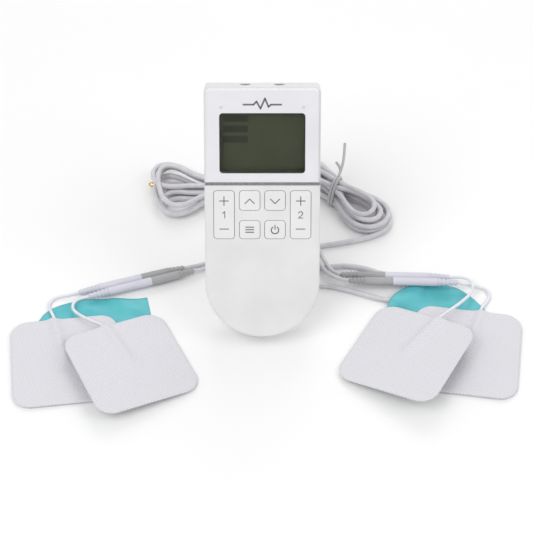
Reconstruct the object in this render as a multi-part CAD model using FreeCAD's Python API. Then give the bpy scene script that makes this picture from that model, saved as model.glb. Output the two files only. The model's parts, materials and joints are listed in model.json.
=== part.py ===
import FreeCAD, Part
import math
import os

# Two-channel nerve stimulator (TENS) kit laid out for use. Millimetres, +Z up.
# The handset leans back on its rounded end and its fold-out leg. Its own axes are
# x right, y from the rounded end to the jacks, z from the back to the keys.
# Row frame: origin on the floor in the middle of the kit, +Y away from the keys.

# ---- handset ----
RECLINE = 56.0            # degrees between the handset's length and the floor
HANDSET_X = -1.9          # where the handset's own origin stands in the row frame
HANDSET_Y = -2.4
LENGTH = 117.5
HALF_WIDTH = 26.5         # also the radius of the rounded end
TOP_CORNER_R = 2.4
SEAM_Z = 7.6              # back shell below this, front shell above
KEYPAD_Z = 19.4           # front face around the keys
SHELF_Z = 18.2            # front shell under the display bezel
BEZEL_Z = 20.4            # front face of the display bezel
WALL = 1.6
FRONT_SKIN = 1.5          # thickness behind the keypad and the display shelf
CAVITY_Y = 71.2           # where the room behind the keypad meets the display shelf
BACK_FILLET = 3.0
FRONT_FILLET = 1.2
TOP_BACK_R = 6.0          # rounding of the top end towards the back
BEZEL_Y = 73.7            # lower edge of the display bezel
TRIM_H = 1.3              # bright strip between the bezel and the keypad
BEZEL_TOP_Y = 117.0
BEZEL_FILLET = 1.2

# ---- display ----
LCD_W = 38.8
LCD_H = 27.5
LCD_Y = 92.05             # middle of the window
LCD_CORNER = 1.6
PANEL_HALF_W = 20.2
PANEL_HALF_H = 14.8
PANEL_Z0 = 15.05
PANEL_Z1 = 16.6
FRAME_RIM = 2.0

# ---- keys ----
KEY_W = 9.35
KEY_UP_H = 9.1
KEY_LOW_H = 8.5
ROCKER_H = 22.5
KEY_X = 5.8
ROCKER_X = 17.55
KEY_UP_Y = 65.35
KEY_LOW_Y = 51.65
ROCKER_Y = 58.65
KEY_CORNER = 1.5
KEY_GAP = 0.2             # between a key and its opening
KEY_PROUD = 0.3
KEY_BOTTOM_Z = 17.0
KEY_FLANGE = 0.7
KEY_FLANGE_TOP = 17.8
PIVOT_Z = 17.3            # rocker trunnions
PIVOT_R = 0.5

# ---- screws: places, then sizes ----
SCREWS = [(-12.5, 17.0), (12.5, 17.0), (-20.5, 111.0), (20.5, 111.0)]
SCREW_R = 0.9
SCREW_HEAD_R = 1.9
SCREW_HEAD_Z = 3.0
SCREW_TOP_Z = 12.6
BOSS_R = 2.6

# ---- battery ----
CELL_R = 5.25
CELL_L = 44.5
CELL_PITCH = 10.6
CELL_Z = 7.15
BAY_HALF = 16.1
BAY_Y0 = 57.2
BAY_Y1 = 104.3
BAY_ROOF = 13.6
DOOR_GAP = 0.25
DOOR_T = 1.5
BAY_WALL = 1.2
CONTACT_T = 0.3
CONTACT_HALF = 4.0
GRIP_BARS = 5             # grooves for the thumb on the door

# ---- circuit board, jacks ----
BOARD_Z = 14.0
BOARD_T = 1.0
SWITCH_HALF = 2.0
ROCKER_SWITCH_Y = 7.5     # each side of a rocker's middle
CORE_X = 13.0             # output transformers
CORE_HALF = 6.0
BUZZER_R = 4.5
BUZZER_H = 3.2
JACK_X = 7.75
JACK_Z = 10.6
JACK_BORE_R = 1.3
JACK_DEPTH = 10.0
JACK_NOSE_R = 2.45

# ---- fold-out leg ----
LEG_PIVOT_Y = 53.5
LEG_PIVOT_Z = 1.8
LEG_HALF = 7.0
LEG_T = 3.0
LEG_END_R = 1.7
LEG_TIP_Y = 5.6
LEG_OPEN = 57.0           # degrees from folded to open
LEG_PIN_R = 0.8
LEG_GAP = 0.3             # each side of the folded leg
LEG_BOSS = 2.4            # how far each boss grips the pin
LEG_WINDOW = (6.0, 14.0, 22.0)       # width, height and middle of the slot through the leg

# ---- pads, film ----
PAD = 50.8                # two inches square
PAD_CORNER = 8.5
FABRIC_T = 0.9
GEL_T = 0.6
GEL_INSET = 1.2
FILM_T = 0.3
PAD_LIFT = 0.35           # underside of a pad that lies on the film
# name: middle x, y, turn about Z, tilt (positive lifts the pad's right side)
PADS = {
    "back_left": (-93.8, -25.75, 7.1, 0.0),
    "front_left": (-63.2, -29.8, 26.2, -7.5),
    "back_right": (93.55, -20.4, -8.5, 0.0),
    "front_right": (65.2, -25.2, -29.6, 11.5),
}

# ---- cords ----
TRUNK_D = 2.6
LEG_D = 1.9
PIGTAIL_D = 1.5
CONN_R = 2.0
LEAD_CONN_L = 21.4
LEAD_RIBS_L = 7.6
SOCKET_L = 31.2
SOCKET_RIBS_L = 9.8
PIN_R = 1.0
PIN_REACH = 13.0
# name: tip of the socket, unit direction towards the lead
CONNECTORS = {
    "back_left": ((-90.6, 15.4, 2.1), (0.954, 0.300, 0.0)),
    "front_left": ((-85.5, 12.0, 3.3), (0.951, 0.309, 0.0)),
    "front_right": ((88.8, 22.8, 4.8), (-0.9995, 0.0318, 0.0)),
    "back_right": ((92.4, 18.7, 5.7), (-0.9997, 0.0266, 0.0)),
}

PLUG_R = 2.6
PLUG_L = 14.0
PLUG_RIBS_L = 7.0
PLUG_PIN_R = 1.25
PLUG_PIN_L = 10.0
# name: rear end, direction towards the pin's tip
PLUGS = {
    "lead_plug_left": ((-29.5, 82.5, 3.1), (-0.988, 0.152, 0.0)),
    "lead_plug_right": ((18.0, 87.5, 11.5), (-0.97, -0.243, 0.0)),
}
SPLITS = [(-20.5, 57.7), (11.4, 35.0)]        # middles of the two Y pieces

# Cord routes, each point (x, y, z).
ROUTES = {
    "pigtail_back_left": (PIGTAIL_D, [
        (-90.6, 15.4, 2.1), (-94.1, 14.3, 1.9), (-98.0, 13.9, 1.3), (-101.6, 13.2, 1.0),
        (-104.1, 10.8, 1.0), (-104.8, 7.3, 1.2), (-102.9, 3.2, 1.4), (-101.0, -1.0, 1.4)]),
    "pigtail_front_left": (PIGTAIL_D, [
        (-85.5, 12.0, 3.3), (-88.5, 11.1, 3.2), (-91.6, 9.8, 3.0), (-93.1, 6.9, 2.9),
        (-92.5, 3.6, 3.0), (-89.4, 0.4, 3.4), (-85.0, -2.9, 4.1), (-80.5, -5.5, 4.6),
        (-76.3, -7.9, 4.4)]),
    "pigtail_front_right": (PIGTAIL_D, [
        (88.8, 22.8, 4.8), (92.6, 22.9, 5.1), (96.6, 21.9, 5.4), (99.4, 19.1, 5.6),
        (99.6, 15.3, 5.2), (97.2, 10.6, 5.3), (92.0, 5.0, 6.0), (86.2, -0.4, 6.8),
        (81.2, -5.0, 7.1)]),
    "pigtail_back_right": (PIGTAIL_D, [
        (92.4, 18.7, 5.7), (95.8, 18.5, 4.7), (100.0, 19.3, 2.2), (104.4, 19.6, 1.1),
        (107.6, 17.2, 1.0), (107.9, 13.2, 1.0), (105.4, 9.2, 1.2), (102.4, 5.0, 1.4)]),
    "leg_back_left": (LEG_D, [
        (-40.4, 31.2, 2.1), (-35.8, 32.8, 1.5), (-30.8, 34.6, 1.1), (-26.2, 37.4, 1.1),
        (-23.6, 42.0, 1.1), (-23.6, 47.4, 1.1), (-21.7, 52.6, 1.6)]),
    "leg_front_left": (LEG_D, [
        (-35.5, 28.2, 3.3), (-30.9, 30.0, 2.2), (-25.9, 32.4, 1.3), (-21.7, 35.9, 1.1),
        (-19.3, 40.9, 1.1), (-20.3, 46.6, 1.1), (-19.4, 52.4, 1.6)]),
    "leg_front_right": (LEG_D, [
        (36.2, 24.5, 4.8), (33.2, 25.9, 4.6), (30.8, 29.6, 3.9), (28.6, 34.0, 3.7),
        (26.8, 38.4, 3.9), (25.4, 42.6, 4.6), (21.9, 45.8, 4.7), (17.2, 46.4, 3.4),
        (12.7, 43.7, 2.0), (10.3, 39.5, 1.6)]),
    "leg_back_right": (LEG_D, [
        (39.8, 20.1, 5.7), (36.2, 20.9, 5.5), (32.2, 23.2, 4.7), (29.0, 27.0, 3.9),
        (26.9, 31.6, 3.7), (25.6, 36.0, 3.8), (23.8, 39.6, 4.4), (20.6, 41.9, 4.7),
        (16.6, 41.9, 3.6), (13.1, 39.7, 1.8)]),
    "trunk_left": (TRUNK_D, [
        (-20.5, 62.2, 1.6), (-19.9, 64.9, 1.7), (-18.9, 67.5, 2.0), (-17.6, 69.9, 2.4)]),
    "trunk_right": (TRUNK_D, [
        (54.0, 52.6, 2.2), (45.6, 50.2, 1.6), (36.0, 48.0, 1.35), (28.2, 46.8, 1.35),
        (21.5, 45.0, 1.35), (18.4, 41.5, 1.35), (18.0, 36.9, 1.35), (20.4, 33.0, 1.35),
        (24.8, 31.4, 1.35), (31.6, 32.6, 1.35), (39.6, 33.4, 1.35), (47.6, 31.8, 1.35),
        (55.2, 28.6, 1.35), (62.0, 25.8, 1.35), (65.9, 23.1, 1.35), (67.4, 19.0, 1.35),
        (66.4, 14.7, 1.35), (63.2, 11.6, 1.35), (58.8, 10.8, 1.35), (50.6, 13.4, 1.35),
        (41.4, 17.1, 1.35), (32.4, 20.0, 1.35), (24.0, 21.2, 1.35), (17.2, 22.2, 1.35),
        (12.9, 25.2, 1.45), (11.4, 30.5, 1.6)]),
}
HANK_OUTLINE = [
    (-31, 88), (-40, 96), (-46, 101), (-53, 102.5), (-58.5, 97), (-59.2, 86), (-56, 74),
    (-51, 64.5), (-43, 62), (-32, 68), (-14, 70.5), (8, 73), (24, 76), (31, 71.5), (37, 61),
    (44.5, 53.5), (54, 51.5), (62, 56.5), (63.5, 65), (57, 72.5), (46, 80), (38.5, 88.5),
    (30, 97), (18, 97), (-10, 89.5)]
HANK_H = 8.2
HANK_Z = 0.4
TIE_X = 34.8
TIE_Y = 80.5
TIE_TURN = -24            # degrees from square across the bundle
TIE_HALF = 11.0
TIE_D = 1.4
FILM_LEFT = [
    (-119.0, -16.0), (-113.5, -4.0), (-109.0, -1.0), (-106.2, 3.8), (-99.4, 8.8),
    (-87.6, 12.2), (-75.5, 12.9), (-65.9, 12.5)]
FILM_LEFT_CORNERS = [(-57.7, 13.8), (-53.0, -3.0), (-50.0, -22.0), (-110.0, -30.0)]
FILM_RIGHT = [
    (57.0, 0.0), (57.4, 5.0), (59.6, 10.5), (64.0, 15.6), (73.6, 20.8), (81.0, 22.4),
    (89.2, 21.1), (97.0, 16.2), (105.0, 6.0), (110.0, -4.0)]
FILM_RIGHT_CORNERS = [(112.0, -24.0), (64.0, -20.0)]

V = FreeCAD.Vector
X_AXIS = V(1, 0, 0)
Y_AXIS = V(0, 1, 0)
Z_AXIS = V(0, 0, 1)
FOLD_LIFT = BACK_FILLET * (math.sin(math.radians(RECLINE)) + math.cos(math.radians(RECLINE)) - 1)
nodes = {}


# ---------- helpers ----------
def block(x0, x1, y0, y1, z0, z1):
    return Part.makeBox(x1 - x0, y1 - y0, z1 - z0, V(x0, y0, z0))


def rod(radius, length, start, direction=Z_AXIS):
    return Part.makeCylinder(radius, length, V(*start), direction)


def rounded_block(width, height, z0, z1, corner, cx=0.0, cy=0.0):
    """Upright rounded rectangle about (cx, cy)."""
    shape = block(cx - width / 2, cx + width / 2, cy - height / 2, cy + height / 2, z0, z1)
    upright = [e for e in shape.Edges if abs(e.Vertexes[0].Z - e.Vertexes[1].Z) > 0.5 * (z1 - z0)]
    return shape.makeFillet(corner, upright)


def edges_at(shape, z):
    return [e for e in shape.Edges if abs(e.BoundBox.ZMin - z) < 0.01 and abs(e.BoundBox.ZMax - z) < 0.01]


def body_block(inset, z0, z1, top=LENGTH):
    """The handset's outline, drawn in by inset, as an upright solid."""
    half = HALF_WIDTH - inset
    corner = max(TOP_CORNER_R - inset, 0.6)
    y_top = top - inset
    diagonal = corner * (1 - math.sqrt(0.5))
    edges = [
        Part.Arc(V(-half, HALF_WIDTH, z0), V(0, inset, z0), V(half, HALF_WIDTH, z0)).toShape(),
        Part.makeLine(V(half, HALF_WIDTH, z0), V(half, y_top - corner, z0)),
        Part.Arc(V(half, y_top - corner, z0), V(half - diagonal, y_top - diagonal, z0),
                 V(half - corner, y_top, z0)).toShape(),
        Part.makeLine(V(half - corner, y_top, z0), V(-half + corner, y_top, z0)),
        Part.Arc(V(-half + corner, y_top, z0), V(-half + diagonal, y_top - diagonal, z0),
                 V(-half, y_top - corner, z0)).toShape(),
        Part.makeLine(V(-half, y_top - corner, z0), V(-half, HALF_WIDTH, z0)),
    ]
    return Part.Face(Part.Wire(edges)).extrude(V(0, 0, z1 - z0))


def top_profile(inset):
    """Side view of the handset with its top end rounded towards the back."""
    y_top = LENGTH - inset
    low = inset
    r = TOP_BACK_R - inset
    diagonal = r * (1 - math.sqrt(0.5))
    x0 = -HALF_WIDTH - 1
    points = [V(x0, -1, low), V(x0, y_top - r, low), V(x0, y_top, low + r), V(x0, y_top, 22), V(x0, -1, 22)]
    edges = [
        Part.makeLine(points[0], points[1]),
        Part.Arc(points[1], V(x0, y_top - diagonal, low + diagonal), points[2]).toShape(),
        Part.makeLine(points[2], points[3]),
        Part.makeLine(points[3], points[4]),
        Part.makeLine(points[4], points[0]),
    ]
    return Part.Face(Part.Wire(edges)).extrude(V(2 * HALF_WIDTH + 2, 0, 0))


def on_handset(shape):
    """From the handset's own axes to the row frame."""
    placed = shape.copy()
    placed.rotate(V(0, 0, 0), X_AXIS, RECLINE)
    placed.translate(V(HANDSET_X, HANDSET_Y, -FOLD_LIFT))
    return placed


def group(shapes):
    return shapes[0] if len(shapes) == 1 else Part.makeCompound(shapes)


def add(name, shape):
    nodes[name] = shape


# ---------- handset shells ----------
def key_list():
    """name, middle x, middle y, height, is a rocker"""
    return [
        ("key_up", -KEY_X, KEY_UP_Y, KEY_UP_H, False),
        ("key_down", KEY_X, KEY_UP_Y, KEY_UP_H, False),
        ("key_mode", -KEY_X, KEY_LOW_Y, KEY_LOW_H, False),
        ("key_power", KEY_X, KEY_LOW_Y, KEY_LOW_H, False),
        ("rocker_ch1", -ROCKER_X, ROCKER_Y, ROCKER_H, True),
        ("rocker_ch2", ROCKER_X, ROCKER_Y, ROCKER_H, True),
    ]


def leg_channel():
    depth = LEG_PIVOT_Z + LEG_END_R + 0.1
    half = LEG_HALF + LEG_GAP
    low = rod(half, depth + 1, (0, LEG_TIP_Y + LEG_HALF, -1))
    straight = block(-half, half, LEG_TIP_Y + LEG_HALF, LEG_PIVOT_Y + LEG_END_R + LEG_GAP, -1, depth)
    return low.fuse(straight)


def rear_housing():
    outer = body_block(0, 0, SEAM_Z)
    outer = outer.makeFillet(BACK_FILLET, edges_at(outer, 0))
    outer = outer.common(top_profile(0))
    shell = outer.cut(body_block(WALL, WALL, SEAM_Z + 1).common(top_profile(WALL)))
    depth = LEG_PIVOT_Z + LEG_END_R + 1.2
    side = LEG_HALF + LEG_GAP
    floor = WALL - 0.2
    tray = block(-side - WALL, side + WALL, LEG_TIP_Y + LEG_HALF,
                 LEG_PIVOT_Y + LEG_END_R + LEG_GAP + WALL, floor, depth)
    tray = tray.fuse(rod(side + WALL, depth - floor, (0, LEG_TIP_Y + LEG_HALF, floor)))
    bay = block(-BAY_HALF - BAY_WALL, BAY_HALF + BAY_WALL, BAY_Y0 - BAY_WALL, BAY_Y1 + BAY_WALL,
                floor, BAY_ROOF)
    shell = shell.fuse(tray.common(body_block(0.4, 0, SEAM_Z))).fuse(bay)
    for x, y in SCREWS:
        shell = shell.fuse(rod(BOSS_R + 0.4, SEAM_Z - floor, (x, y, floor)))
    shell = shell.cut(block(-BAY_HALF, BAY_HALF, BAY_Y0, BAY_Y1, -1, BAY_ROOF - 1.0))
    shell = shell.cut(leg_channel())
    pin_half = side + LEG_BOSS
    for x0, x1 in ((-pin_half - 0.8, -side), (side, pin_half + 0.8)):
        shell = shell.fuse(block(x0, x1, LEG_PIVOT_Y - 2, LEG_PIVOT_Y + 2, 0.6, depth))
    shell = shell.cut(rod(LEG_PIN_R, 2 * pin_half, (-pin_half, LEG_PIVOT_Y, LEG_PIVOT_Z), X_AXIS))
    for x, y in SCREWS:
        shell = shell.cut(rod(SCREW_R + 0.1, SEAM_Z + 2, (x, y, -1)))
        shell = shell.cut(rod(SCREW_HEAD_R + 0.1, SCREW_HEAD_Z + 1, (x, y, -1)))
    return shell.removeSplitter()


def front_housing():
    keypad = body_block(0, SEAM_Z, KEYPAD_Z)
    keypad = keypad.makeFillet(FRONT_FILLET, edges_at(keypad, KEYPAD_Z))
    outer = keypad.cut(block(-30, 30, BEZEL_Y - TRIM_H, 130, SHELF_Z, 25))
    outer = outer.common(top_profile(0))
    cavity = body_block(WALL, SEAM_Z - 1, KEYPAD_Z - FRONT_SKIN)
    cavity = cavity.cut(block(-30, 30, CAVITY_Y, 130, SHELF_Z - FRONT_SKIN, 25))
    shell = outer.cut(cavity)
    for name, x, y, height, rocker in key_list():
        width = KEY_W + 2 * KEY_GAP
        opening = rounded_block(width, height + 2 * KEY_GAP, 10, 25, KEY_CORNER + KEY_GAP, x, y)
        shell = shell.cut(opening)
    shell = shell.cut(rounded_block(LCD_W + 1.4, LCD_H + 1.2, 10, 25, LCD_CORNER, 0, LCD_Y))
    for x, y in SCREWS:
        roof = SHELF_Z - 1.4 if y > BEZEL_Y else KEYPAD_Z - 1.4
        shell = shell.fuse(rod(BOSS_R, roof - SEAM_Z - 0.05, (x, y, SEAM_Z + 0.05)))
        shell = shell.cut(rod(SCREW_R, SCREW_TOP_Z + 1 - SEAM_Z, (x, y, SEAM_Z - 1)))
    for side in (-1, 1):
        shell = shell.cut(rod(JACK_NOSE_R + 0.1, 8, (side * JACK_X, LENGTH - 6, JACK_Z), Y_AXIS))
    return shell.removeSplitter()


def display_bezel():
    solid = body_block(0.7, SHELF_Z, BEZEL_Z, BEZEL_TOP_Y + 0.7)
    solid = solid.cut(block(-30, 30, -1, BEZEL_Y, 10, 25))
    solid = solid.makeFillet(BEZEL_FILLET, edges_at(solid, BEZEL_Z))
    return solid.cut(rounded_block(LCD_W + 0.2, LCD_H + 0.2, 10, 25, LCD_CORNER, 0, LCD_Y))


def trim_strip():
    half = HALF_WIDTH - 0.3
    strip = block(-half, half, BEZEL_Y - TRIM_H + 0.05, BEZEL_Y, SHELF_Z, KEYPAD_Z + 0.35)
    return strip.makeFillet(0.3, [e for e in strip.Edges if e.Length > half and e.BoundBox.ZMin > KEYPAD_Z])


# ---------- display stack ----------
def display_parts():
    add("display_window", rounded_block(LCD_W, LCD_H, SHELF_Z + 0.6, BEZEL_Z - 0.5, LCD_CORNER, 0, LCD_Y))
    add("lcd_panel", block(-PANEL_HALF_W, PANEL_HALF_W, LCD_Y - PANEL_HALF_H, LCD_Y + PANEL_HALF_H,
                           PANEL_Z0, PANEL_Z1))
    half_w = PANEL_HALF_W + 0.2
    half_h = PANEL_HALF_H + 0.2
    frame = block(-half_w - FRAME_RIM, half_w + FRAME_RIM, LCD_Y - half_h - FRAME_RIM / 2,
                  LCD_Y + half_h + FRAME_RIM / 2, PANEL_Z0, PANEL_Z1)
    add("lcd_frame", frame.cut(block(-half_w, half_w, LCD_Y - half_h, LCD_Y + half_h, 10, 20)))


# ---------- keys ----------
def push_key(x, y, height):
    cap = rounded_block(KEY_W, height, KEY_BOTTOM_Z, KEYPAD_Z + KEY_PROUD, KEY_CORNER, x, y)
    cap = cap.makeFillet(0.35, edges_at(cap, KEYPAD_Z + KEY_PROUD))
    flange = rounded_block(KEY_W + 2 * KEY_FLANGE, height + 2 * KEY_FLANGE, KEY_BOTTOM_Z,
                           KEY_FLANGE_TOP, KEY_CORNER + KEY_FLANGE, x, y)
    return cap.fuse(flange).removeSplitter()


def rocker_key(x):
    cap = rounded_block(KEY_W, ROCKER_H, KEY_BOTTOM_Z, KEYPAD_Z + KEY_PROUD, KEY_CORNER, x, ROCKER_Y)
    cap = cap.makeFillet(0.35, edges_at(cap, KEYPAD_Z + KEY_PROUD))
    half = KEY_W / 2 + 1.0
    return cap.fuse(rod(PIVOT_R, 2 * half, (x - half, ROCKER_Y, PIVOT_Z), X_AXIS)).removeSplitter()


def keys():
    for name, x, y, height, rocker in key_list():
        add(name, rocker_key(x) if rocker else push_key(x, y, height))


# ---------- electronics ----------
def electronics():
    board = block(-22, 22, 30, 104, BOARD_Z, BOARD_Z + BOARD_T)
    board = board.fuse(block(-16, 16, 104, 115.5, BOARD_Z, BOARD_Z + BOARD_T)).removeSplitter()
    add("main_board", board)
    top = BOARD_Z + BOARD_T
    switches = []
    for name, x, y, height, rocker in key_list():
        for dy in ((-ROCKER_SWITCH_Y, ROCKER_SWITCH_Y) if rocker else (0.0,)):
            base = block(x - SWITCH_HALF, x + SWITCH_HALF, y + dy - SWITCH_HALF, y + dy + SWITCH_HALF,
                         top, top + 0.8)
            switches.append(base.fuse(rod(1.0, 0.4, (x, y + dy, top + 0.8))).removeSplitter())
    add("tact_switches", group(switches))
    for side, name in ((-1, "jack_ch1"), (1, "jack_ch2")):
        x = side * JACK_X
        mouth = LENGTH - 0.4
        case = block(x - 4.2, x + 4.2, mouth - 11.4, LENGTH - WALL - 0.1, JACK_Z - 3.6, BOARD_Z - 0.05)
        case = case.cut(block(x - 4.3, x + 4.3, LENGTH - 9, LENGTH, 0, JACK_Z - 3.2))
        nose = rod(JACK_NOSE_R, 4, (x, mouth - 4, JACK_Z), Y_AXIS)
        bore = rod(JACK_BORE_R, JACK_DEPTH, (x, mouth - JACK_DEPTH, JACK_Z), Y_AXIS)
        add(name, case.fuse(nose).cut(bore).removeSplitter())
    cores = []
    for side in (-1, 1):
        x = side * CORE_X
        core = block(x - CORE_HALF, x + CORE_HALF, 33, 43, 5.6, BOARD_Z - 0.05)
        cores.append(core.fuse(rod(3.6, 14, (x, 31, 9.8), Y_AXIS)).removeSplitter())
    add("output_transformers", group(cores))
    add("controller_chip", block(-5, 5, 40, 50, BOARD_Z - 1.5, BOARD_Z - 0.02))
    add("buzzer", rod(BUZZER_R, BUZZER_H, (0, 34.5, BOARD_Z - BUZZER_H - 0.05)))


def contact_plate(x, y):
    return block(x - CONTACT_HALF, x + CONTACT_HALF, y, y + CONTACT_T,
                 CELL_Z - CONTACT_HALF, CELL_Z + CONTACT_HALF)


def battery_parts():
    middle = (BAY_Y0 + BAY_Y1) / 2 + 0.75
    cells = []
    springs = []
    tabs = []
    for column in (-1, 0, 1):
        x = column * CELL_PITCH
        start = middle - CELL_L / 2
        body = rod(CELL_R, CELL_L - 1.0, (x, start, CELL_Z), Y_AXIS)
        cells.append(body.fuse(rod(2.0, 1.0, (x, start + CELL_L - 1.0, CELL_Z), Y_AXIS)).removeSplitter())
        spring = Part.makeCone(3.9, 2.0, start - BAY_Y0 - 0.4, V(x, BAY_Y0 + 0.35, CELL_Z), Y_AXIS)
        springs.append(spring.fuse(contact_plate(x, BAY_Y0 + 0.05)).removeSplitter())
        tabs.append(contact_plate(x, BAY_Y1 - 0.05 - CONTACT_T))
    add("battery_cells", group(cells))
    add("battery_contacts", group(springs + tabs))
    half = BAY_HALF - DOOR_GAP
    plate = rounded_block(2 * half, BAY_Y1 - BAY_Y0 - 2 * DOOR_GAP, 0, DOOR_T, 0.8, 0, (BAY_Y0 + BAY_Y1) / 2)
    for index in range(GRIP_BARS):
        y = BAY_Y0 + 7 + index * 1.6
        plate = plate.cut(block(-6, 6, y, y + 0.7, -1, 0.4))
    for side in (-1, 1):
        x = side * CELL_PITCH / 2
        latch = block(x - 0.7, x + 0.7, BAY_Y0 + DOOR_GAP + 0.15, BAY_Y0 + 1.0, DOOR_T - 0.2, 3.4)
        plate = plate.fuse(latch)
    add("battery_door", plate.removeSplitter())


def screws():
    fasteners = []
    for x, y in SCREWS:
        head = rod(SCREW_HEAD_R, 1.3, (x, y, SCREW_HEAD_Z - 1.3))
        slot = block(x - 1.3, x + 1.3, y - 0.2, y + 0.2, SCREW_HEAD_Z - 1.4, SCREW_HEAD_Z - 0.8)
        cross = block(x - 0.2, x + 0.2, y - 1.3, y + 1.3, SCREW_HEAD_Z - 1.4, SCREW_HEAD_Z - 0.8)
        shank = rod(SCREW_R, SCREW_TOP_Z - SCREW_HEAD_Z, (x, y, SCREW_HEAD_Z))
        fasteners.append(head.fuse(shank).cut(slot).cut(cross).removeSplitter())
    add("housing_screws", group(fasteners))


def leg_parts():
    z0 = LEG_PIVOT_Z - LEG_T / 2
    low = rod(LEG_HALF, LEG_T, (0, LEG_TIP_Y + LEG_HALF, z0))
    leg = low.fuse(block(-LEG_HALF, LEG_HALF, LEG_TIP_Y + LEG_HALF, LEG_PIVOT_Y, z0, z0 + LEG_T))
    leg = leg.fuse(rod(LEG_END_R, 2 * LEG_HALF, (-LEG_HALF, LEG_PIVOT_Y, LEG_PIVOT_Z), X_AXIS))
    leg = leg.cut(block(-LEG_HALF, LEG_HALF, 0, LEG_TIP_Y + 0.6, -2, 8))
    width, height, middle = LEG_WINDOW
    leg = leg.cut(rounded_block(width, height, -2, 8, width / 2 - 0.1, 0, middle))
    leg = leg.cut(rod(LEG_PIN_R + 0.05, 2 * LEG_HALF, (-LEG_HALF, LEG_PIVOT_Y, LEG_PIVOT_Z), X_AXIS))
    leg = leg.removeSplitter()
    leg.rotate(V(0, LEG_PIVOT_Y, LEG_PIVOT_Z), X_AXIS, LEG_OPEN)
    add("stand_leg", leg)
    reach = LEG_HALF + LEG_GAP + LEG_BOSS - 0.1
    add("stand_pin", rod(LEG_PIN_R, 2 * reach, (-reach, LEG_PIVOT_Y, LEG_PIVOT_Z), X_AXIS))


# ---------- pads and film ----------
def place_pad(shape, x, y, turn, tilt):
    placed = shape.copy()
    placed.rotate(V(0, 0, 0), Y_AXIS, -tilt)
    placed.rotate(V(0, 0, 0), Z_AXIS, turn)
    placed.translate(V(x, y, PAD_LIFT + 0.5 * PAD * math.sin(math.radians(abs(tilt)))))
    return placed


def pads():
    gels = []
    for name, (x, y, turn, tilt) in PADS.items():
        fabric = rounded_block(PAD, PAD, GEL_T, GEL_T + FABRIC_T, PAD_CORNER)
        add("pad_" + name, place_pad(fabric, x, y, turn, tilt))
        side = PAD - 2 * GEL_INSET
        gels.append(place_pad(rounded_block(side, side, 0, GEL_T, PAD_CORNER - GEL_INSET), x, y, turn, tilt))
    add("pad_gels", group(gels))


def film(curve_points, corners):
    curve = Part.BSplineCurve()
    curve.interpolate([V(x, y, 0) for x, y in curve_points])
    edges = [curve.toShape()]
    ring = [curve_points[-1]] + corners + [curve_points[0]]
    for a, b in zip(ring, ring[1:]):
        edges.append(Part.makeLine(V(a[0], a[1], 0), V(b[0], b[1], 0)))
    return Part.Face(Part.Wire(edges)).extrude(V(0, 0, FILM_T))


# ---------- cords ----------
def tube(name, diameter, points):
    """Round cord along straight runs joined by tangent arcs; returns the solid."""
    p = [V(*q) for q in points]
    edges = []
    start = p[0]
    smallest = 1e9
    for a, b, c in zip(p, p[1:], p[2:]):
        into = (b - a).normalize()
        out = (c - b).normalize()
        turn = into.getAngle(out)
        reach = 0.45 * min((b - a).Length, (c - b).Length)
        radius = reach / math.tan(turn / 2)
        smallest = min(smallest, radius)
        first = b - into * reach
        last = b + out * reach
        towards = (out - into).normalize()
        depth = radius * (1 / math.cos(turn / 2) - 1)
        edges.append(Part.LineSegment(start, first).toShape())
        edges.append(Part.Arc(first, b + towards * depth, last).toShape())
        start = last
    edges.append(Part.LineSegment(start, p[-1]).toShape())
    path = Part.Wire(edges)
    section = Part.Wire(Part.Circle(p[0], p[1] - p[0], diameter / 2).toShape())
    solid = path.makePipeShell([section], True, False)
    expected = math.pi * diameter ** 2 / 4 * path.Length
    print("%-20s length %.1f smallest radius %.1f volume ratio %.3f"
          % (name, path.Length, smallest, solid.Volume / expected))
    return solid


def ribbed(start, direction, length, r0, r1, ribs):
    """Tapered strain relief with ribs, from radius r0 at start to r1."""
    d = V(*direction)
    shape = Part.makeCone(r0 * 0.82, r1 * 0.82, length, start, d)
    pitch = length / ribs
    for index in range(ribs):
        middle = (index + 0.5) / ribs
        radius = r0 + (r1 - r0) * middle
        shape = shape.fuse(Part.makeCylinder(radius, pitch * 0.55, start + d * (pitch * (index + 0.2)), d))
    return shape.removeSplitter()


def connectors():
    pins = []
    for name, (tip, direction) in CONNECTORS.items():
        d = V(*direction)
        d.normalize()
        joint = V(*tip) + d * SOCKET_L
        socket = Part.makeCylinder(CONN_R, SOCKET_L - SOCKET_RIBS_L, V(*tip) + d * SOCKET_RIBS_L, d)
        relief = ribbed(V(*tip) + d * SOCKET_RIBS_L, d * -1, SOCKET_RIBS_L, CONN_R, PIGTAIL_D * 0.85, 5)
        socket = socket.fuse(relief).removeSplitter()
        socket = socket.cut(Part.makeCylinder(PIN_R + 0.05, PIN_REACH + 0.5, joint, d * -1))
        add("pad_socket_" + name, socket)
        barrel = Part.makeCylinder(CONN_R, LEAD_CONN_L - LEAD_RIBS_L, joint, d)
        end = ribbed(joint + d * (LEAD_CONN_L - LEAD_RIBS_L), d, LEAD_RIBS_L, CONN_R * 0.95, LEG_D * 0.72, 4)
        add("lead_connector_" + name, barrel.fuse(end).removeSplitter())
        pins.append(Part.makeCylinder(PIN_R, PIN_REACH, joint, d * -1))
    add("connector_pins", group(pins))


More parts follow.
